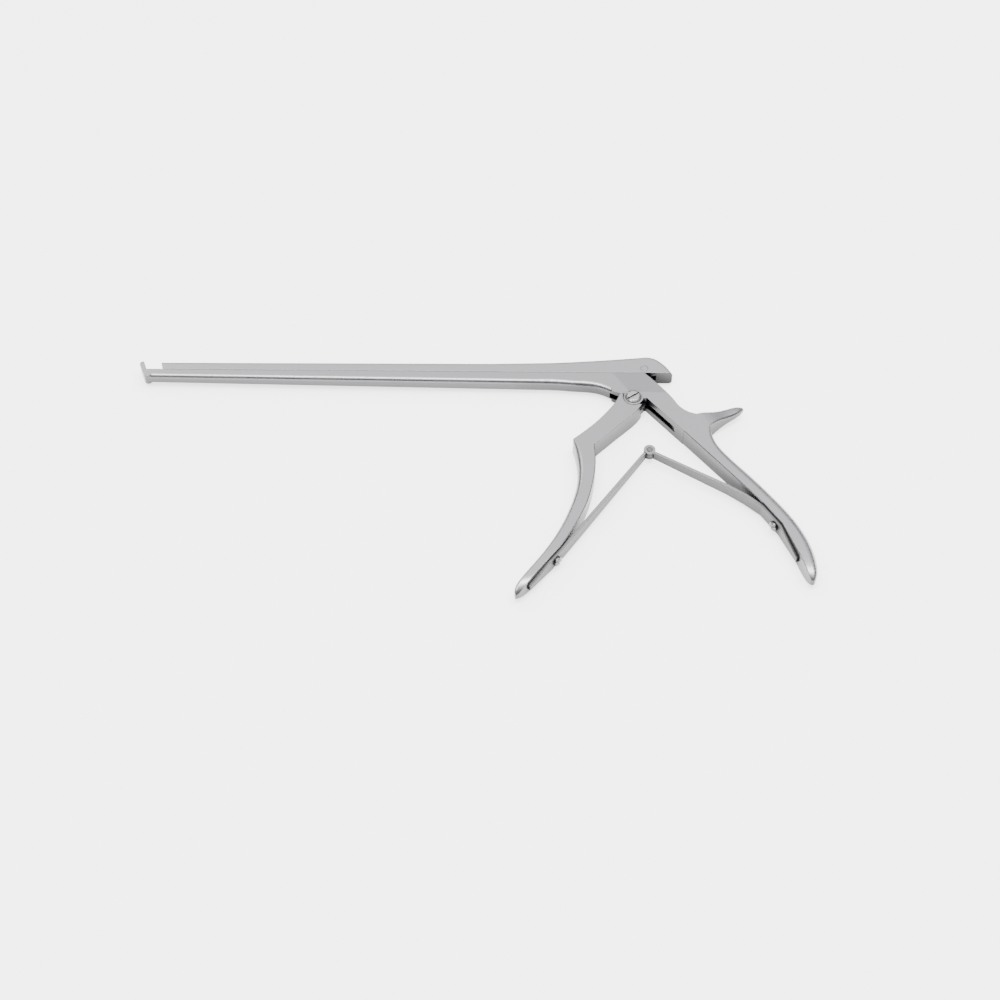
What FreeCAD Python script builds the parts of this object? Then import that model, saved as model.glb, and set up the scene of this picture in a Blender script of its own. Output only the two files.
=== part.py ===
import FreeCAD, Part
import Sketcher
import math
import os
from FreeCAD import Placement, Rotation, Vector

# A bone rongeur of the sliding-shaft kind, lying on its side, in millimetres.
# The pivot axis is the Z axis, the table is z = 0, the jaw points to -X and the
# handles hang to -Y. Every piece is symmetric about the mid plane of the body,
# apart from the pivot screw, whose head is on the upper side.

SIZES = [
    # The body
    ("body_thickness", 9.0),
    ("jaw_reach", 208.0),
    ("slide_level", 14.0),
    ("bar_width_tip", 5.2),
    ("bar_width_rear", 6.9),
    # The lower bar of the frame
    ("bar_depth_tip", 3.9),
    ("bar_depth_root", 5.5),
    ("bar_edge_round", 1.8),
    ("foot_lean", 18.0),
    ("foot_thickness", 2.9),
    ("foot_height", 4.1),
    ("boss_radius", 4.2),
    # The sliding bar
    ("slide_height_tip", 4.3),
    ("slide_height_waist", 5.1),
    ("hump_height", 9.35),
    ("slide_rear", 16.8),
    ("slide_edge_round", 1.5),
    ("slide_gap", 0.03),
    ("jaw_opening", 7.1),
    ("cup_radius", 1.5),
    ("cup_depth", 5.0),
    # The key that holds the sliding bar down
    ("key_stem", 1.4),
    ("key_head", 2.6),
    ("key_neck_depth", 0.9),
    ("key_head_depth", 0.8),
    ("key_length", 14.0),
    ("key_setback", 17.0),
    ("key_gap", 0.08),
    ("stroke", 7.05),
    # The pivot and the drive
    ("pivot_radius", 2.1),
    ("pivot_head_radius", 3.2),
    ("pivot_head_height", 1.9),
    ("pivot_head_sink", 1.1),
    ("pivot_gap", 0.05),
    ("pivot_floor", 1.0),
    ("screw_slot", 0.8),
    ("tongue_thickness", 2.8),
    ("tongue_gap", 0.1),
    ("hub_radius", 5.6),
    ("lever_half_width", 3.5),
    ("lever_head_radius", 4.0),
    ("lever_room", 1.0),
    ("drive_rise", 2.5),
    ("drive_offset", 5.0),
    ("drive_pin_radius", 1.5),
    ("drive_pin_seat_gap", 0.02),
    ("fork_gap", 0.14),
    ("shoulder_gap", 0.2),
    # The handles
    ("front_round", 2.5),
    ("rear_round", 3.6),
    # The leaf springs
    ("leaf_thickness", 1.2),
    ("leaf_foot_width", 6.2),
    ("leaf_eye_width", 3.7),
    ("eye_width", 1.5),
    ("eye_side_gap", 0.1),
    ("leaf_tail_width", 2.4),
    ("eye_radius", 2.4),
    ("hinge_pin_radius", 1.1),
    ("spring_screw_radius", 1.1),
    ("spring_screw_depth", 3.2),
    ("front_screw_reach", 4.86),
    ("rear_screw_reach", 9.13),
    ("leaf_end_setback", 0.5),
    ("spring_head_radius", 2.1),
    ("spring_head_height", 1.5),
]
size = dict(SIZES)

doc = FreeCAD.newDocument("bone_rongeur")
sheet = doc.addObject("Spreadsheet::Sheet", "sizes")
for row, (name, value) in enumerate(SIZES, 1):
    sheet.set("A%d" % row, name)
    sheet.set("B%d" % row, str(value))
    sheet.setAlias("B%d" % row, name)
doc.recompute()

THICKNESS = size["body_thickness"]
MID = THICKNESS / 2
LEVEL = size["slide_level"]
TIP = -size["jaw_reach"]
LEAN = math.tan(math.radians(size["foot_lean"]))
FAR = 2 * THICKNESS


# Drawing helpers

def add_body(name):
    body = doc.addObject("PartDesign::Body", name)
    body.Label = name
    return body


def origin_plane(body, role):
    return next(f for f in body.Origin.OriginFeatures if f.Role == role)


def flat_sketch(body, name, height="sizes.body_thickness / 2"):
    """A sketch parallel to the table, by default in the mid plane of the body."""
    sketch = body.newObject("Sketcher::SketchObject", name)
    sketch.AttachmentSupport = (origin_plane(body, "XY_Plane"), [""])
    sketch.MapMode = "FlatFace"
    sketch.setExpression("AttachmentOffset.Base.z", height)
    return sketch


def upright_sketch(body, name, x, y, turn):
    """A sketch that stands on the table at (x, y). Its own x axis points along
    the angle turn, in degrees from +X, and its own y axis is +Z."""
    sketch = body.newObject("Sketcher::SketchObject", name)
    sketch.AttachmentSupport = (origin_plane(body, "XZ_Plane"), [""])
    sketch.MapMode = "FlatFace"
    sketch.AttachmentOffset = Placement(Vector(x, 0, -y), Rotation(Vector(0, 1, 0), turn))
    return sketch


def vec(point):
    return Vector(point[0], point[1], 0)


def curve_through(points, start=None, end=None):
    """A smooth curve through the points, with its end directions where given."""
    spline = Part.BSplineCurve()
    options = {}
    if start and end:
        options = {"InitialTangent": vec(start), "FinalTangent": vec(end)}
    spline.interpolate(Points=[vec(p) for p in points], **options)
    return spline


def draw_loop(sketch, start, *pieces):
    """A closed outline. A piece is a corner (x, y) for a straight run, or
    ("arc", middle, end), or ("curve", points, start direction, end direction)."""
    here = start
    for piece in pieces + (start,):
        if piece[0] == "arc":
            sketch.addGeometry(Part.Arc(vec(here), vec(piece[1]), vec(piece[2])), False)
            here = piece[2]
        elif piece[0] == "curve":
            sketch.addGeometry(curve_through([here] + piece[1], *piece[2:]), False)
            here = piece[1][-1]
        elif math.dist(here, piece) > 1e-6:
            sketch.addGeometry(Part.LineSegment(vec(here), vec(piece)), False)
            here = piece


def draw_box(sketch, left, right, bottom, top):
    draw_loop(sketch, (left, bottom), (right, bottom), (right, top), (left, top))


def draw_circle(sketch, centre, *names):
    """A circle whose radius is the sum of the named sizes."""
    radius = sum(size[name] for name in names)
    index = sketch.addGeometry(Part.Circle(vec(centre), Vector(0, 0, 1), radius), False)
    constraint = sketch.addConstraint(Sketcher.Constraint("Radius", index, radius))
    expression = " + ".join("sizes." + name for name in names)
    sketch.setExpression("Constraints[%d]" % constraint, expression)


def feature(body, kind, name, sketch, length):
    """A pad or pocket to both sides of its sketch, through all without a length."""
    made = body.newObject("PartDesign::" + kind, name)
    made.Profile = sketch
    if length is None:
        made.Type = "ThroughAll"
    else:
        made.setExpression("Length", length)
    made.Midplane = True
    doc.recompute()
    return made


def pad(body, name, sketch, length):
    return feature(body, "Pad", name, sketch, length)


def cut(body, name, sketch, length=None):
    before = body.Tip.Shape.Volume
    made = feature(body, "Pocket", name, sketch, length)
    if made.Shape.Volume >= before:
        raise RuntimeError(name + " takes nothing away")
    return made


def loft(body, name, sketches):
    made = body.newObject("PartDesign::AdditiveLoft", name)
    made.Profile = sketches[0]
    made.Sections = sketches[1:]
    doc.recompute()
    return made


def revolve(body, name, sketch):
    """A full turn about the sketch's own upright axis."""
    made = body.newObject("PartDesign::Revolution", name)
    made.Profile = sketch
    made.ReferenceAxis = (sketch, ["V_Axis"])
    made.Angle = 360
    doc.recompute()
    return made


def round_edges(body, name, radius, wanted):
    """Rounds the edges whose middle point passes the test wanted."""
    tip = body.Tip
    names = []
    for number, edge in enumerate(tip.Shape.Edges, 1):
        middle = edge.valueAt((edge.FirstParameter + edge.LastParameter) / 2)
        if wanted(edge, middle):
            names.append("Edge%d" % number)
    made = body.newObject("PartDesign::Fillet", name)
    made.Base = (tip, names)
    made.setExpression("Radius", radius)
    doc.recompute()
    return made


def cut_one_way(body, name, sketch, upward):
    """Cuts through all above the sketch, or through all below it."""
    before = body.Tip.Shape.Volume
    made = body.newObject("PartDesign::Pocket", name)
    made.Profile = sketch
    made.Type = "ThroughAll"
    made.Reversed = upward
    doc.recompute()
    if made.Shape.Volume > before:
        raise RuntimeError(name + " adds material")
    return made


def trim_to_thickness(body, name):
    """Takes away whatever stands out above or below the body's thickness."""
    reach = size["jaw_reach"]
    for side, height, upward in (("upper", "sizes.body_thickness", True), ("lower", "0", False)):
        sketch = flat_sketch(body, "%s_%s_sketch" % (name, side), height)
        draw_box(sketch, -reach, reach, -reach, reach)
        cut_one_way(body, "%s_%s" % (name, side), sketch, upward)


# The taper that both bars share

def half_width(x):
    share = (size["slide_rear"] - x) / (size["slide_rear"] + size["jaw_reach"])
    rear, tip = size["bar_width_rear"], size["bar_width_tip"]
    return (rear + (tip - rear) * share) / 2


def taper_bar(body, name, rear_x):
    """Cuts both sides of a bar to the taper, from beyond the jaw to rear_x."""
    far = TIP - 5
    sketch = upright_sketch(body, name + "_sketch", 0, 0, 0)
    for side in (1, -1):
        near_tip = MID + side * half_width(far)
        near_rear = MID + side * half_width(rear_x)
        outer = MID + side * FAR
        draw_loop(sketch, (far, near_tip), (rear_x, near_rear), (rear_x, outer), (far, outer))
    return cut(body, name, sketch)


# The jaw: the foot plate leans forwards, and the sliding bar's front face with it

FOOT_BACK = TIP + size["foot_thickness"] + size["foot_height"] * LEAN * 0.35
SLIDE_FRONT = FOOT_BACK + size["jaw_opening"]

# The key under the sliding bar and its room in the lower bar

KEY_FRONT = SLIDE_FRONT + size["key_setback"]
KEY_REAR = KEY_FRONT + size["key_length"]
KEY_LEDGE = LEVEL - size["key_neck_depth"]
KEY_TOP = KEY_LEDGE - size["key_gap"]
KEY_BOTTOM = KEY_TOP - size["key_head_depth"]

# The leaf springs: the hinge they share and the flat seats they lie on

KNUCKLE = (6.15, -25.9)
FRONT_SEAT = [(-24.5, -69.1), (-30.1, -76.6), (-43.6, -94.7)]
REAR_SEAT = [(44.4, -49.1), (51.0, -54.6), (57.8, -64.7), (63.9, -79.9)]


def direction(a, b):
    run = math.dist(a, b)
    return ((b[0] - a[0]) / run, (b[1] - a[1]) / run)


def on_run(start, run, distance):
    """The point at the distance from the start along the direction run."""
    return (start[0] + run[0] * distance, start[1] + run[1] * distance)


def along(run, start, point):
    """How far the point lies from the start, measured along the direction run."""
    return (point[0] - start[0]) * run[0] + (point[1] - start[1]) * run[1]


def beside(line, distance):
    """The line shifted to its left by the distance, with mitred corners."""
    shifted = []
    runs = [direction(a, b) for a, b in zip(line, line[1:])]
    for number, point in enumerate(line):
        before = runs[max(number - 1, 0)]
        after = runs[min(number, len(runs) - 1)]
        normal = (-before[1] - after[1], before[0] + after[0])
        scale = distance / (1 + before[0] * after[0] + before[1] * after[1])
        shifted.append((point[0] + normal[0] * scale, point[1] + normal[1] * scale))
    return shifted


def set_back(line):
    """The line's end, set back from the end of the seat along its last run."""
    return on_run(line[-1], direction(line[-1], line[-2]), size["leaf_end_setback"])


front_run = direction(FRONT_SEAT[1], FRONT_SEAT[2])
rear_run = direction(REAR_SEAT[1], REAR_SEAT[2])
FRONT_SCREW = on_run(FRONT_SEAT[1], front_run, size["front_screw_reach"])
REAR_SCREW = on_run(REAR_SEAT[1], rear_run, size["rear_screw_reach"])


def cut_seat(body, name, line, side):
    """Cuts a handle flat along the line. The spring's side is left (1) or right (-1)."""
    sketch = flat_sketch(body, name + "_sketch")
    away = beside(line, side * 6)
    draw_loop(sketch, *line, *reversed(away))
    cut(body, name, sketch)


def drill_screw(body, name, point, run, depth):
    """Drills for a spring screw, square to the seat whose direction is run."""
    turn = math.degrees(math.atan2(run[1], run[0]))
    sketch = upright_sketch(body, name + "_sketch", point[0], point[1], turn)
    draw_circle(sketch, (0, MID), "spring_screw_radius", "pivot_gap")
    cut(body, name, sketch, depth)


# The fixed frame: lower bar, foot plate, cheeks, thumb spur and rear handle

frame = add_body("fixed_frame")

BAR_ROOT = -39.0
CHEEK_FRONT = -8.9
FLARE_END = -1.6
bar_bottom_tip = LEVEL - size["bar_depth_tip"]
bar_bottom_root = LEVEL - size["bar_depth_root"]
bar_slope = (bar_bottom_root - bar_bottom_tip) / (BAR_ROOT - TIP)
foot_front = TIP + 0.6
foot_top = LEVEL + size["foot_height"]
boss = size["boss_radius"]


def circle_point(radius, degrees):
    return (radius * math.cos(math.radians(degrees)), radius * math.sin(math.radians(degrees)))


bar_sketch = flat_sketch(frame, "bar_profile")
draw_loop(
    bar_sketch,
    (FOOT_BACK, LEVEL),
    (4.9, LEVEL),
    (4.9, 6.0),
    (CHEEK_FRONT, 3.9),
    ("curve", [(-14.0, 6.4), (-24.0, 7.7), (BAR_ROOT, bar_bottom_root)], (-0.88, 0.48), (-1, -bar_slope)),
    (FOOT_BACK + 0.9, bar_bottom_tip),
    ("arc", (FOOT_BACK - 0.3, bar_bottom_tip + 0.3), (FOOT_BACK - 0.9, bar_bottom_tip + 1.2)),
    (foot_front - 0.3, foot_top - 1.5),
    ("arc", (foot_front + 0.1, foot_top - 0.35), (foot_front + 1.0, foot_top)),
    (FOOT_BACK - size["foot_height"] * LEAN, foot_top - 0.35),
)
pad(frame, "bar", bar_sketch, "sizes.body_thickness")
taper_bar(frame, "bar_taper", 6.0)


def is_bar_bottom_edge(edge, middle):
    low = middle.y < LEVEL - 2.5 and middle.x < CHEEK_FRONT
    return edge.Length > 5 and low and abs(middle.z - MID) > 1


round_edges(frame, "bar_round", "sizes.bar_edge_round", is_bar_bottom_edge)

# The cheeks at full thickness, with the roots of the spur and the rear handle
cheek_sketch = flat_sketch(frame, "cheek_profile")
draw_loop(
    cheek_sketch,
    (CHEEK_FRONT, 3.9),
    (CHEEK_FRONT, LEVEL),
    (5.0, LEVEL),
    ("arc", (11.5, 6.0), (17.3, -2.2)),
    ("arc", (20.9, -6.7), (26.0, -8.9)),
    (30.0, -8.9),
    (32.0, -14.0),
    (31.6, -17.5),
    (20.2, -17.9),
    (5.4, -0.5),
    circle_point(boss, -8),
    ("arc", circle_point(boss, 252), circle_point(boss, 152)),
    (-5.4, 2.2),
)
pad(frame, "cheeks", cheek_sketch, "sizes.body_thickness")

# The cheeks thin towards the sliding bar, and flare in from the boss to the bar
THIN_FROM = 2.5
thin_sketch = upright_sketch(frame, "cheek_thinning_sketch", 0, 0, 90)
flare_sketch = upright_sketch(frame, "cheek_flare_sketch", 0, 0, 0)
for side in (1, -1):
    face = MID + side * MID
    flush = MID + side * half_width(5.0)
    waist = MID + side * half_width(CHEEK_FRONT)
    outer = MID + side * FAR
    draw_loop(thin_sketch, (THIN_FROM, face), (LEVEL, flush), (LEVEL + 4, outer), (THIN_FROM, outer))
    draw_loop(
        flare_sketch,
        (FLARE_END, face),
        (CHEEK_FRONT, waist),
        (CHEEK_FRONT - 1, outer),
        (FLARE_END, outer),
    )
cut(frame, "cheek_thinning", thin_sketch)
cut(frame, "cheek_flare", flare_sketch)

# The slot for the tongue and lever of the front handle
SLOT_WIDTH = "sizes.tongue_thickness + 2 * sizes.tongue_gap"
lever_slot = flat_sketch(frame, "lever_slot_sketch")
draw_loop(
    lever_slot,
    (-10.2, 0.0),
    (-8.2, LEVEL + 1),
    (9.2, LEVEL + 1),
    (6.8, 6.4),
    ("arc", (6.7, 3.8), (7.2, 1.4)),
    (13.2, -6.0),
    (17.2, -14.4),
    (0.0, -20.0),
    (-12.0, -8.0),
)
cut(frame, "lever_slot", lever_slot, SLOT_WIDTH)

# The room for the key, with the wider window through which it drops in
key_slots = [
    ("key_neck_slot", KEY_FRONT - size["stroke"] - 0.6, KEY_REAR + 0.3, KEY_LEDGE, LEVEL + 1,
     "sizes.key_stem + 2 * sizes.key_gap"),
    ("key_head_slot", KEY_FRONT - size["stroke"] - 0.6, KEY_REAR + 0.3, KEY_BOTTOM - size["key_gap"], KEY_LEDGE,
     "sizes.key_head + 2 * sizes.key_gap"),
    ("key_window", KEY_REAR + 0.2, KEY_REAR + size["key_length"] + 1.2, KEY_BOTTOM - size["key_gap"], LEVEL + 1,
     "sizes.key_head + 2 * sizes.key_gap"),
]
for name, left, right, bottom, top, width in key_slots:
    slot_sketch = flat_sketch(frame, name + "_sketch")
    draw_box(slot_sketch, left, right, bottom, top)
    cut(frame, name, slot_sketch, width)



def rounded_section(body, name, x, y, turn, height, thickness, r):
    """An upright section with corners of radius r, centred on (x, y) and the mid plane."""
    sketch = upright_sketch(body, name, x, y, turn)
    half_h, half_t = height / 2, thickness / 2
    c = r * (1 - math.cos(math.radians(45)))
    low, high = MID - half_t, MID + half_t
    draw_loop(
        sketch,
        (r - half_h, low),
        (half_h - r, low),
        ("arc", (half_h - c, low + c), (half_h, low + r)),
        (half_h, high - r),
        ("arc", (half_h - c, high - c), (half_h - r, high)),
        (r - half_h, high),
        ("arc", (c - half_h, high - c), (-half_h, high - r)),
        (-half_h, low + r),
        ("arc", (c - half_h, low + c), (r - half_h, low)),
    )
    return sketch


# The thumb spur: centre, turn of the section, height, thickness and corner radius
SPUR_STATIONS = [
    (26.6, -13.6, 110, 9.0, 9.0, 0.2),
    (29.6, -11.6, 114, 7.6, 9.0, 0.3),
    (33.6, -9.3, 118, 5.8, 7.6, 1.2),
    (39.5, -6.0, 118, 4.7, 4.7, 1.5),
    (43.9, -3.6, 118, 3.1, 3.2, 1.1),
    (45.6, -2.7, 118, 1.2, 1.4, 0.4),
]
spur_sections = []
for number, station in enumerate(SPUR_STATIONS, 1):
    spur_sections.append(rounded_section(frame, "spur_section_%d" % number, *station))
loft(frame, "spur", spur_sections)


def handle_section(body, name, inner, outer, thickness_share, round_share, full_round):
    """A section with small chamfers at its flat inner face and round outer corners."""
    width = math.dist(inner, outer)
    turn = math.degrees(math.atan2(outer[1] - inner[1], outer[0] - inner[0]))
    sketch = upright_sketch(body, name, inner[0], inner[1], turn)
    half = MID * thickness_share
    big = full_round * round_share
    small = 0.35 * thickness_share
    low, high = MID - half, MID + half
    c = 1 - math.cos(math.radians(45))
    draw_loop(
        sketch,
        (small, low),
        (width - big, low),
        ("arc", (width - big * c, low + big * c), (width, low + big)),
        (width, high - big),
        ("arc", (width - big * c, high - big * c), (width - big, high)),
        (small, high),
        (0, high - small),
        (0, low + small),
    )
    return sketch


def handle_loft(body, name, stations, full_round):
    """Stations give inner edge, outer edge, share of thickness, share of rounding."""
    sketches = []
    for number, station in enumerate(stations, 1):
        sketches.append(handle_section(body, "%s_section_%d" % (name, number), *station, full_round))
    return loft(body, name, sketches)


REAR_STATIONS = [
    ((18.4, -15.7), (31.0, -14.6), 1.0, 0.1),
    ((24.0, -22.4), (32.7, -21.4), 1.0, 0.5),
    ((31.8, -31.7), (37.8, -29.2), 1.0, 0.8),
    ((40.2, -41.8), (46.2, -38.7), 1.0, 1.0),
    ((49.6, -53.2), (55.6, -50.6), 1.0, 1.0),
    ((56.4, -63.1), (63.0, -61.4), 1.0, 1.0),
    ((60.8, -72.9), (68.4, -73.0), 1.0, 1.0),
    ((64.2, -81.5), (70.4, -83.1), 0.94, 0.85),
    ((66.3, -87.4), (70.0, -88.6), 0.74, 0.5),
    ((67.7, -90.6), (68.8, -90.9), 0.3, 0.12),
]
handle_loft(frame, "rear_handle", REAR_STATIONS, size["rear_round"])
trim_to_thickness(frame, "frame_trim")

# The pivot hole is blind, so that the frame's lower side stays whole
for name, radius, floor in (
    ("pivot_hole", "pivot_radius", "sizes.pivot_floor"),
    ("pivot_counterbore", "pivot_head_radius", "sizes.body_thickness - sizes.pivot_head_sink"),
):
    hole_sketch = flat_sketch(frame, name + "_sketch", floor)
    draw_circle(hole_sketch, (0, 0), radius, "pivot_gap")
    cut_one_way(frame, name, hole_sketch, True)

# The seat of the rear leaf spring and its screw hole
HOLE_DEPTH = "2 * (sizes.spring_screw_depth + sizes.tongue_gap)"
cut_seat(frame, "rear_seat", REAR_SEAT, -1)
drill_screw(frame, "rear_screw_hole", REAR_SCREW, rear_run, HOLE_DEPTH)

# The sliding shaft

slide = add_body("sliding_shaft")
floor = LEVEL + size["slide_gap"]
waist_top = LEVEL + size["slide_height_waist"]
tip_top = LEVEL + size["slide_height_tip"]
WAIST = -60.0
hump = size["hump_height"]


def hump_point(x, share):
    return (x, LEVEL + hump * share)


slide_sketch = flat_sketch(slide, "slide_profile")
draw_loop(
    slide_sketch,
    (SLIDE_FRONT, floor),
    (size["slide_rear"], floor),
    ("arc", hump_point(14.3, 0.45), hump_point(10.3, 0.87)),
    ("arc", hump_point(8.1, 0.97), hump_point(5.4, 1.0)),
    ("arc", hump_point(-14.0, 0.785), hump_point(-34.0, 0.625)),
    (WAIST, waist_top),
    (SLIDE_FRONT - size["slide_height_tip"] * LEAN, tip_top),
)
pad(slide, "slide_bar", slide_sketch, "sizes.body_thickness")
taper_bar(slide, "slide_taper", size["slide_rear"] + 3)


def is_slide_top_edge(edge, middle):
    level_run = abs(edge.tangentAt(edge.FirstParameter).z) < 0.5
    return level_run and edge.Length > 2 and middle.y > LEVEL + 3 and abs(middle.z - MID) > 1


round_edges(slide, "slide_round", "sizes.slide_edge_round", is_slide_top_edge)

# The cup in the front face
cup_sketch = upright_sketch(slide, "cup_sketch", SLIDE_FRONT, LEVEL, 90)
draw_circle(cup_sketch, (size["slide_height_tip"] / 2 + 0.05, MID), "cup_radius")
cut(slide, "cup", cup_sketch, "2 * sizes.cup_depth")

# The room for the lever's head, open towards the frame
DRIVE = (size["drive_offset"], LEVEL + size["drive_rise"])
room = size["lever_head_radius"] + size["lever_room"]
room_sketch = flat_sketch(slide, "lever_room_sketch")
draw_loop(
    room_sketch,
    (DRIVE[0] - room, LEVEL - 1),
    (DRIVE[0] + room, LEVEL - 1),
    (DRIVE[0] + room, DRIVE[1]),
    ("arc", (DRIVE[0], DRIVE[1] + room), (DRIVE[0] - room, DRIVE[1])),
)
cut(slide, "lever_room_cut", room_sketch, SLOT_WIDTH)

pin_hole_sketch = flat_sketch(slide, "drive_pin_hole_sketch")
draw_circle(pin_hole_sketch, DRIVE, "drive_pin_radius", "drive_pin_seat_gap")
cut(slide, "drive_pin_hole", pin_hole_sketch)

neck_sketch = flat_sketch(slide, "key_neck_sketch")
draw_box(neck_sketch, KEY_FRONT, KEY_REAR, KEY_TOP - 0.1, floor + 0.3)
pad(slide, "key_neck", neck_sketch, "sizes.key_stem")
head_sketch = flat_sketch(slide, "key_head_sketch")
draw_box(head_sketch, KEY_FRONT, KEY_REAR, KEY_BOTTOM, KEY_TOP)
pad(slide, "key_head", head_sketch, "sizes.key_head")

# The front handle: shoulder, arm, tongue and lever

front = add_body("front_handle")
shoulder = size["boss_radius"] + size["shoulder_gap"]
INNER_KNEE = (-16.3, -25.5)
OUTER_KNEE = (-25.3, -23.0)
shoulder_sketch = flat_sketch(front, "shoulder_profile")
draw_loop(
    shoulder_sketch,
    (-5.6, 1.7),
    circle_point(shoulder, 160),
    ("arc", circle_point(shoulder, 230), circle_point(shoulder, 298)),
    (3.4, -4.0),
    ("curve", [(-3.9, -12.8), INNER_KNEE], (-0.45, -0.89), (-0.7, -0.71)),
    OUTER_KNEE,
    ("curve", [(-17.4, -15.6), (-10.3, -7.1), (-6.4, -0.6)], (0.75, 0.66), (0.4, 0.92)),
)
pad(front, "shoulder", shoulder_sketch, "sizes.body_thickness")

FRONT_STATIONS = [
    (INNER_KNEE, OUTER_KNEE, 1.0, 0.08),
    ((-16.2, -29.4), (-24.3, -28.6), 1.0, 0.9),
    ((-16.2, -36.9), (-23.4, -37.4), 1.0, 1.0),
    ((-17.2, -44.6), (-23.9, -45.6), 1.0, 1.0),
    ((-19.8, -55.3), (-26.9, -57.3), 1.0, 1.0),
    ((-24.6, -66.4), (-31.8, -69.3), 1.0, 1.0),
    ((-31.0, -77.9), (-38.5, -80.9), 1.0, 1.0),
    ((-37.7, -87.3), (-45.0, -90.2), 0.94, 0.9),
    ((-43.4, -94.7), (-48.4, -96.4), 0.76, 0.6),
    ((-46.8, -98.6), (-48.0, -99.3), 0.28, 0.1),
]
handle_loft(front, "front_arm", FRONT_STATIONS, size["front_round"])
trim_to_thickness(front, "front_trim")

# The tongue runs in the frame's slot; its lever ends in a fork round the drive pin
REACH = math.hypot(*DRIVE)
lever_x, lever_y = direction((0, 0), DRIVE)


def lever_point(out, across):
    """A point so far out from the pivot towards the drive pin, and so far across."""
    return (out * lever_x + across * lever_y, out * lever_y - across * lever_x)


hub = size["hub_radius"]
half = size["lever_half_width"]
head = size["lever_head_radius"]
fork = size["drive_pin_radius"] + size["fork_gap"]
hub_join = math.sqrt(hub ** 2 - half ** 2)
head_join = REACH - math.sqrt(head ** 2 - half ** 2)
fork_top = REACH + math.sqrt(head ** 2 - fork ** 2)
fork_bottom = DRIVE[1] - 0.15
crown = (REACH + head * math.cos(math.radians(55)), head * math.sin(math.radians(55)))
tongue_sketch = flat_sketch(front, "tongue_profile")
draw_loop(
    tongue_sketch,
    lever_point(hub_join, -half),
    ("arc", lever_point(-hub, 0), lever_point(hub_join, half)),
    lever_point(head_join, half),
    ("arc", lever_point(*crown), lever_point(fork_top, fork)),
    lever_point(fork_bottom, fork),
    ("arc", lever_point(fork_bottom - fork, 0), lever_point(fork_bottom, -fork)),
    lever_point(fork_top, -fork),
    ("arc", lever_point(crown[0], -crown[1]), lever_point(head_join, -half)),
)
pad(front, "tongue", tongue_sketch, "sizes.tongue_thickness")

bore_sketch = flat_sketch(front, "pivot_bore_sketch")
draw_circle(bore_sketch, (0, 0), "pivot_radius", "pivot_gap")
cut(front, "pivot_bore", bore_sketch)

cut_seat(front, "front_seat", FRONT_SEAT, 1)
drill_screw(front, "front_screw_hole", FRONT_SCREW, front_run, HOLE_DEPTH)

# Screws: drawn upright with the underside of the head at height 0, then placed


def add_screw(name, shank, shank_length, head_radius, head_height):
    """The head has a straight rim, a bevel, a flat top and a driver slot."""
    body = add_body(name)
    sketch = upright_sketch(body, name + "_profile", 0, 0, 0)
    bevel = head_height * 0.3
    draw_loop(
        sketch,
        (0, -shank_length),
        (shank, -shank_length),
        (shank, 0),
        (head_radius, 0),
        (head_radius, head_height - bevel),
        (head_radius - 1.4 * bevel, head_height),
        (0, head_height),
    )
    revolve(body, name + "_turned", sketch)
    slot = flat_sketch(body, name + "_slot_sketch", "%.3f" % head_height)
    reach = head_radius + 1
    draw_box(slot, -reach, reach, -size["screw_slot"] / 2, size["screw_slot"] / 2)
    cut(body, name + "_slot", slot, "%.3f" % (head_height * 0.9))
    return body


pivot = add_screw(
    "pivot_screw",
    size["pivot_radius"],
    THICKNESS - size["pivot_head_sink"] - size["pivot_floor"] - size["tongue_gap"],
    size["pivot_head_radius"],
    size["pivot_head_height"],
)
pivot.Placement = Placement(
    Vector(0, 0, THICKNESS - size["pivot_head_sink"]), Rotation(Vector(0, 0, 1), 35)
)

leaf = size["leaf_thickness"]
for name, point, run, side in (
    ("front_spring_screw", FRONT_SCREW, front_run, 1),
    ("rear_spring_screw", REAR_SCREW, rear_run, -1),
):
    screw = add_screw(
        name,
        size["spring_screw_radius"],
        leaf + size["spring_screw_depth"],
        size["spring_head_radius"],
        size["spring_head_height"],
    )
    normal = (-side * run[1], side * run[0])
    place = Vector(point[0] + leaf * normal[0], point[1] + leaf * normal[1], MID)
    screw.Placement = Placement(place, Rotation(Vector(0, 0, 1), Vector(normal[0], normal[1], 0)))

# Pins along Z, symmetric about the mid plane

drive_pin = add_body("drive_pin")
drive_sketch = flat_sketch(drive_pin, "drive_pin_profile")
draw_circle(drive_sketch, DRIVE, "drive_pin_radius")
pad(drive_pin, "drive_pin_turned", drive_sketch, "sizes.bar_width_rear - 0.2")

hinge_pin = add_body("spring_hinge_pin")
hinge_sketch = flat_sketch(hinge_pin, "spring_hinge_pin_profile")
draw_circle(hinge_sketch, KNUCKLE, "hinge_pin_radius")
pad(hinge_pin, "spring_hinge_pin_turned", hinge_sketch, "sizes.leaf_eye_width + 0.3")

# The leaf springs: a strip, an eye at the hinge, a taper from the foot to the eye


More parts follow.
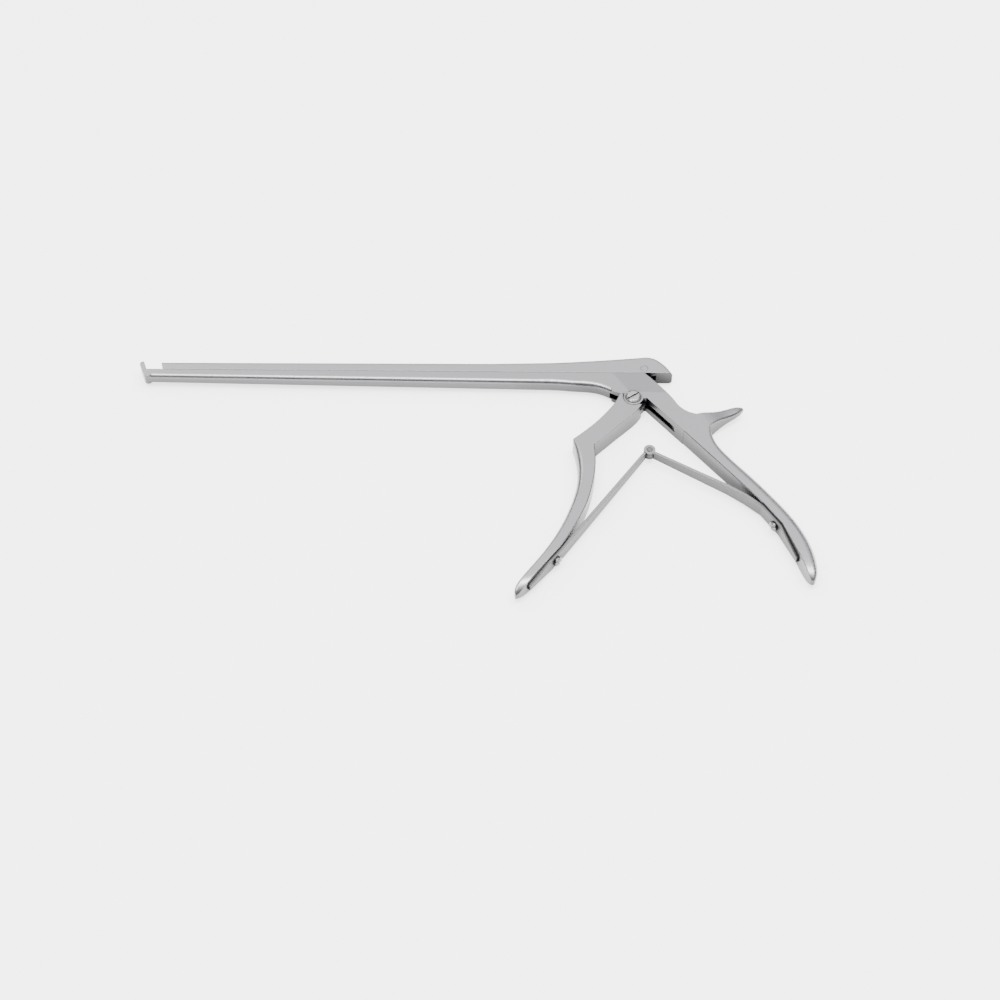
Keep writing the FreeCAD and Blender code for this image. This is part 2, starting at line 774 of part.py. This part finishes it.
def leaf_spring(name, line, side, screw, run, taper_run):
    """The line is the strip's face on the handle's side, from the eye to the tail."""
    body = add_body(name)
    sketch = flat_sketch(body, name + "_profile")
    draw_loop(sketch, *line, *reversed(beside(line, side * leaf)))
    pad(body, name + "_strip", sketch, "sizes.leaf_foot_width")
    eye_sketch = flat_sketch(body, name + "_eye_sketch")
    draw_circle(eye_sketch, KNUCKLE, "eye_radius")
    pad(body, name + "_eye", eye_sketch, "sizes.leaf_eye_width")
    turn = math.degrees(math.atan2(taper_run[1], taper_run[0]))
    taper = upright_sketch(body, name + "_taper_sketch", line[0][0], line[0][1], turn)
    screw_at = along(taper_run, line[0], screw)
    tail_at = along(taper_run, line[0], line[-1])
    for way in (1, -1):
        narrow = MID + way * size["leaf_eye_width"] / 2
        wide = MID + way * size["leaf_foot_width"] / 2
        outer = MID + way * FAR
        tail = MID + way * size["leaf_tail_width"] / 2
        draw_loop(
            taper,
            (-3, outer),
            (-3, narrow),
            (2, narrow),
            (0.85 * screw_at, wide),
            (screw_at + 3, wide),
            (tail_at, tail),
            (tail_at + 9, tail),
            (tail_at + 9, outer),
        )
    cut(body, name + "_taper", taper)
    drill_screw(body, name + "_hole", screw, run, None)
    pin_sketch = flat_sketch(body, name + "_pin_hole_sketch")
    draw_circle(pin_sketch, KNUCKLE, "hinge_pin_radius", "pivot_gap")
    cut(body, name + "_pin_hole", pin_sketch)
    return body


FRONT_LINE = [(5.1, -25.2), FRONT_SEAT[1], set_back(FRONT_SEAT)]
front_leaf = leaf_spring(
    "front_spring", FRONT_LINE, 1, FRONT_SCREW, front_run, direction(FRONT_LINE[0], FRONT_LINE[1])
)
REAR_LINE = [(6.3, -25.7), (38.0, -44.6), *REAR_SEAT[:3], set_back(REAR_SEAT)]
rear_leaf = leaf_spring(
    "rear_spring", REAR_LINE, -1, REAR_SCREW, rear_run, direction(REAR_LINE[0], REAR_LINE[1])
)

# The front leaf ends in one eye between the two ears of the rear leaf
eye_sides = flat_sketch(front_leaf, "eye_sides_sketch")
draw_circle(eye_sides, KNUCKLE, "eye_radius", "shoulder_gap")
ear_gap = flat_sketch(rear_leaf, "ear_gap_sketch")
draw_circle(ear_gap, KNUCKLE, "eye_radius", "shoulder_gap")
cut(rear_leaf, "ear_gap", ear_gap, "sizes.eye_width + 2 * sizes.eye_side_gap")
for name, height, upward in (
    ("eye_upper", "sizes.body_thickness / 2 + sizes.eye_width / 2", True),
    ("eye_lower", "sizes.body_thickness / 2 - sizes.eye_width / 2", False),
):
    side_sketch = flat_sketch(front_leaf, name + "_sketch", height)
    draw_circle(side_sketch, KNUCKLE, "eye_radius", "shoulder_gap")
    cut_one_way(front_leaf, name, side_sketch, upward)

# Check every object and piece, then write the pieces

doc.recompute()
for obj in doc.Objects:
    if "Invalid" in obj.State or "Error" in obj.State:
        raise RuntimeError("%s is not sound: %s" % (obj.Name, obj.State))
pieces = [obj for obj in doc.Objects if obj.TypeId == "PartDesign::Body"]
for piece in pieces:
    if piece.Shape.isNull() or not piece.Shape.isValid() or len(piece.Shape.Solids) != 1:
        raise RuntimeError(piece.Label + " is not one sound solid")
os.makedirs("parts", exist_ok=True)
for piece in pieces:
    piece.Shape.exportStep("parts/%s.step" % piece.Label)
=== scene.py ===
import math

import bmesh
import bpy
from mathutils import Euler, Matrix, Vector


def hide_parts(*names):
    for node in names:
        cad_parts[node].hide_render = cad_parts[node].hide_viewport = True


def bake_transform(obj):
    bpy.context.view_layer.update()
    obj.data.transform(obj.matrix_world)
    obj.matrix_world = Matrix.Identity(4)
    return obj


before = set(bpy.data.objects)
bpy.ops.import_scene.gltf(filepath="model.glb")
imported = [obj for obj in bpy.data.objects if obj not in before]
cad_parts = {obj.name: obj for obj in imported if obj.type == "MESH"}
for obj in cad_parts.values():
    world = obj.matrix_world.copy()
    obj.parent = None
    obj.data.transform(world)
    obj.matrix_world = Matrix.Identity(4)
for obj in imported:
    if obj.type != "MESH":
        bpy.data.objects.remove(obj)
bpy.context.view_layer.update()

MM = 0.001

# Places, in metres, in the frame of the part

PIVOT = Vector((0.0, 0.0, 9.0)) * MM
FRONT_FLEX = Vector((-29.65, -76.95, 4.5)) * MM
REAR_FLEX = Vector((50.5, -55.0, 4.5)) * MM
KNUCKLE = Vector((6.15, -25.9, 4.5)) * MM


# Materials

EDGE_RADIUS = 0.45 * MM
# Painted shade: ambient occlusion darkens the steel's base colour in crevices and slots and on
# sides that face the floor; how far it looks, how dark it gets and how steeply it falls off
PAINTED_SHADE_REACH = 40.0 * MM
PAINTED_SHADE_DARKEST = 0.03
PAINTED_SHADE_CONTRAST = 1.9
# Weaker painted shade on the pivot screw's head
SCREW_PAINTED_SHADE_CONTRAST = 0.8

# The grain of each kind of piece, in streaks per metre along X, Y and Z
BAR_GRAIN = (30.0, 900.0, 900.0)
HANDLE_GRAIN = (300.0, 300.0, 900.0)
SCREW_GRAIN = (400.0, 400.0, 400.0)
SPRING_GRAIN = (500.0, 500.0, 500.0)
GRAIN_DETAIL = 3.0
GRAIN_ROUGHNESS = 0.06
GRAIN_BUMP = 0.02
GRAIN_HEIGHT = 0.1 * MM

SATIN = (0.298, 0.297, 0.308)
SLIDE = (0.322, 0.321, 0.332)
BRIGHT = (0.36, 0.36, 0.36)
DARK = (0.16, 0.16, 0.162)
SPRING = (0.27, 0.27, 0.267)


def new_material(name):
    material = bpy.data.materials.new(name)
    material.use_nodes = True
    return material, material.node_tree.nodes, material.node_tree.links


def colour_sockets(sockets):
    return [socket for socket in sockets if socket.type == "RGBA"]


def steel(name, colour, roughness, grain, painted_shade_contrast=PAINTED_SHADE_CONTRAST):
    """Brushed or satin steel with soft edges, and painted shade: its colour is darker where
    ambient occlusion finds it shut in, in crevices and on sides that face the floor.
    """
    material, nodes, links = new_material(name)
    shader = nodes["Principled BSDF"]
    shader.inputs["Base Color"].default_value = (*colour, 1.0)
    shader.inputs["Metallic"].default_value = 1.0
    shader.inputs["Roughness"].default_value = roughness
    place = nodes.new("ShaderNodeTexCoord")
    stretch = nodes.new("ShaderNodeMapping")
    stretch.inputs["Scale"].default_value = grain
    streaks = nodes.new("ShaderNodeTexNoise")
    streaks.inputs["Scale"].default_value = 1.0
    streaks.inputs["Detail"].default_value = GRAIN_DETAIL
    vary = nodes.new("ShaderNodeMapRange")
    vary.inputs["To Min"].default_value = roughness - GRAIN_ROUGHNESS
    vary.inputs["To Max"].default_value = roughness + GRAIN_ROUGHNESS
    soft_edge = nodes.new("ShaderNodeBevel")
    soft_edge.inputs["Radius"].default_value = EDGE_RADIUS
    bump = nodes.new("ShaderNodeBump")
    bump.inputs["Strength"].default_value = GRAIN_BUMP
    bump.inputs["Distance"].default_value = GRAIN_HEIGHT
    # Painted shade: the base colour is mixed towards a darker copy of itself where ambient
    # occlusion is low
    painted_shade_occlusion = nodes.new("ShaderNodeAmbientOcclusion")
    painted_shade_occlusion.inputs["Distance"].default_value = PAINTED_SHADE_REACH
    contrast = nodes.new("ShaderNodeMath")
    contrast.operation = "POWER"
    contrast.inputs[1].default_value = painted_shade_contrast
    painted_shade_mix = nodes.new("ShaderNodeMix")
    painted_shade_mix.data_type = "RGBA"
    dark, light = colour_sockets(painted_shade_mix.inputs)
    dark.default_value = (*(part * PAINTED_SHADE_DARKEST for part in colour), 1.0)
    light.default_value = (*colour, 1.0)
    links.new(place.outputs["Object"], stretch.inputs["Vector"])
    links.new(stretch.outputs["Vector"], streaks.inputs["Vector"])
    links.new(streaks.outputs["Fac"], vary.inputs["Value"])
    links.new(vary.outputs["Result"], shader.inputs["Roughness"])
    links.new(streaks.outputs["Fac"], bump.inputs["Height"])
    links.new(soft_edge.outputs["Normal"], bump.inputs["Normal"])
    links.new(bump.outputs["Normal"], shader.inputs["Normal"])
    links.new(painted_shade_occlusion.outputs["AO"], contrast.inputs[0])
    links.new(contrast.outputs["Value"], painted_shade_mix.inputs["Factor"])
    links.new(colour_sockets(painted_shade_mix.outputs)[0], shader.inputs["Base Color"])
    return material


FINISHES = {
    "fixed_frame": steel("frame_satin", SATIN, 0.27, BAR_GRAIN),
    "sliding_shaft": steel("slide_satin", SLIDE, 0.26, BAR_GRAIN),
    "front_handle": steel("handle_satin", SATIN, 0.27, HANDLE_GRAIN),
    "pivot_screw": steel("screw_bright", BRIGHT, 0.22, SCREW_GRAIN, SCREW_PAINTED_SHADE_CONTRAST),
    "drive_pin": steel("pin_satin", SLIDE, 0.26, BAR_GRAIN),
    "spring_hinge_pin": steel("hinge_dark", DARK, 0.3, SCREW_GRAIN),
    "front_spring_screw": steel("front_screw_bright", BRIGHT, 0.22, SCREW_GRAIN),
    "rear_spring_screw": steel("rear_screw_bright", BRIGHT, 0.22, SCREW_GRAIN),
}
SPRING_STEEL = steel("spring_matte", SPRING, 0.42, SPRING_GRAIN)
for node, material in FINISHES.items():
    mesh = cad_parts[node].data
    mesh.materials.clear()
    mesh.materials.append(material)


# The leaf springs: the solids' own shape, cut across at short steps

LEAF_STEPS = 24
CUT_TOLERANCE = 0.0001 * MM


def bending_leaf(node, name, seat_end):
    """A copy of the leaf, cut across at even steps from its seat to the knuckle."""
    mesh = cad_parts[node].data.copy()
    mesh.materials.clear()
    mesh.materials.append(SPRING_STEEL)
    shape = bmesh.new()
    shape.from_mesh(mesh)
    run = KNUCKLE - seat_end
    for step in range(1, LEAF_STEPS):
        bmesh.ops.bisect_plane(
            shape,
            geom=shape.verts[:] + shape.edges[:] + shape.faces[:],
            plane_co=seat_end + run * step / LEAF_STEPS,
            plane_no=run.normalized(),
            dist=CUT_TOLERANCE,
        )
    shape.to_mesh(mesh)
    shape.free()
    leaf = bpy.data.objects.new(name, mesh)
    bpy.context.scene.collection.objects.link(leaf)
    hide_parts(node)
    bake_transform(leaf)


bending_leaf("front_spring", "front_leaf_spring", FRONT_FLEX)
bending_leaf("rear_spring", "rear_leaf_spring", REAR_FLEX)


# Floor: wide enough that its edge stays out of a low view

FLOOR_SIZE = 14.0
FLOOR_WHITE = (0.95, 0.95, 0.95, 1.0)
FLOOR_ROUGHNESS = 0.9
FLOOR_GLOW = 2.4


def add_floor():
    bpy.ops.mesh.primitive_plane_add(size=FLOOR_SIZE, location=(0, 0, 0))
    floor = bpy.context.object
    floor.name = "floor"
    material, nodes, _ = new_material("floor_white")
    shader = nodes["Principled BSDF"]
    shader.inputs["Base Color"].default_value = FLOOR_WHITE
    shader.inputs["Roughness"].default_value = FLOOR_ROUGHNESS
    shader.inputs["Emission Color"].default_value = (1.0, 1.0, 1.0, 1.0)
    shader.inputs["Emission Strength"].default_value = FLOOR_GLOW
    floor.data.materials.append(material)


add_floor()


# Light: a wide softbox overhead, and a small one at the far left for the front handle's edge

LIGHT_TARGET = Vector((-0.03, -0.04, 0.0))


def add_softbox(name, place, width, depth, power):
    light = bpy.data.lights.new(name, "AREA")
    light.shape = "RECTANGLE"
    light.size = width
    light.size_y = depth
    light.energy = power
    lamp = bpy.data.objects.new(name, light)
    lamp.location = place
    aim = LIGHT_TARGET - Vector(place)
    lamp.rotation_euler = aim.to_track_quat("-Z", "Y").to_euler()
    bpy.context.scene.collection.objects.link(lamp)


add_softbox("overhead", place=(0.0, -0.1, 1.5), width=1.8, depth=0.45, power=34.0)
add_softbox("far_left", place=(-0.72, 0.84, 1.0), width=0.35, depth=0.25, power=2.0)


# Room: bright from above and dim towards the horizon, a little more so on the camera's side

UPWARD = Vector((-0.06, 0.2, 0.9))
DIM_BELOW = 0.38
BRIGHT_ABOVE = 0.88
DIM_ROOM = 0.5
BRIGHT_ROOM = 2.9
ROOM_WHITE = (0.99, 0.995, 1.0, 1.0)


def add_room():
    world = bpy.data.worlds.new("studio")
    world.use_nodes = True
    bpy.context.scene.world = world
    nodes, links = world.node_tree.nodes, world.node_tree.links
    place = nodes.new("ShaderNodeTexCoord")
    height = nodes.new("ShaderNodeVectorMath")
    height.operation = "DOT_PRODUCT"
    height.inputs[1].default_value = UPWARD
    shade = nodes.new("ShaderNodeMapRange")
    shade.inputs["From Min"].default_value = DIM_BELOW
    shade.inputs["From Max"].default_value = BRIGHT_ABOVE
    shade.inputs["To Min"].default_value = DIM_ROOM
    shade.inputs["To Max"].default_value = BRIGHT_ROOM
    background = nodes["Background"]
    background.inputs["Color"].default_value = ROOM_WHITE
    links.new(place.outputs["Generated"], height.inputs[0])
    links.new(height.outputs["Value"], shade.inputs["Value"])
    links.new(shade.outputs["Result"], background.inputs["Strength"])


add_room()


# Camera: it looks down at the instrument from the handles' side

FOCAL_PIXELS = 2200.0
PICTURE_PIXELS = 1000.0
SENSOR_WIDTH = 36.0
NEAR_CLIP = 0.01
ELEVATION = math.radians(52.7)
ROLL = math.radians(0.79)
PIVOT_PIXEL = (633.5, 396.5)
PIXELS_PER_MM = 2.405


def add_camera():
    forward = Vector((0.0, math.cos(ELEVATION), -math.sin(ELEVATION)))
    up = Vector((0.0, math.sin(ELEVATION), math.cos(ELEVATION)))
    right = Vector((1.0, 0.0, 0.0))
    distance = FOCAL_PIXELS / PIXELS_PER_MM * MM
    across = (PIVOT_PIXEL[0] - PICTURE_PIXELS / 2) / FOCAL_PIXELS
    down = (PIVOT_PIXEL[1] - PICTURE_PIXELS / 2) / FOCAL_PIXELS
    offset = (forward + right * across - up * down) * distance
    turn = Euler((0.0, 0.0, ROLL)).to_matrix()
    data = bpy.data.cameras.new("camera")
    data.sensor_width = SENSOR_WIDTH
    data.lens = SENSOR_WIDTH * FOCAL_PIXELS / PICTURE_PIXELS
    data.clip_start = NEAR_CLIP
    camera = bpy.data.objects.new("camera", data)
    camera.location = turn @ (PIVOT - offset)
    camera.rotation_euler = Euler((math.pi / 2 - ELEVATION, 0.0, ROLL))
    bpy.context.scene.collection.objects.link(camera)
    bpy.context.scene.camera = camera


add_camera()
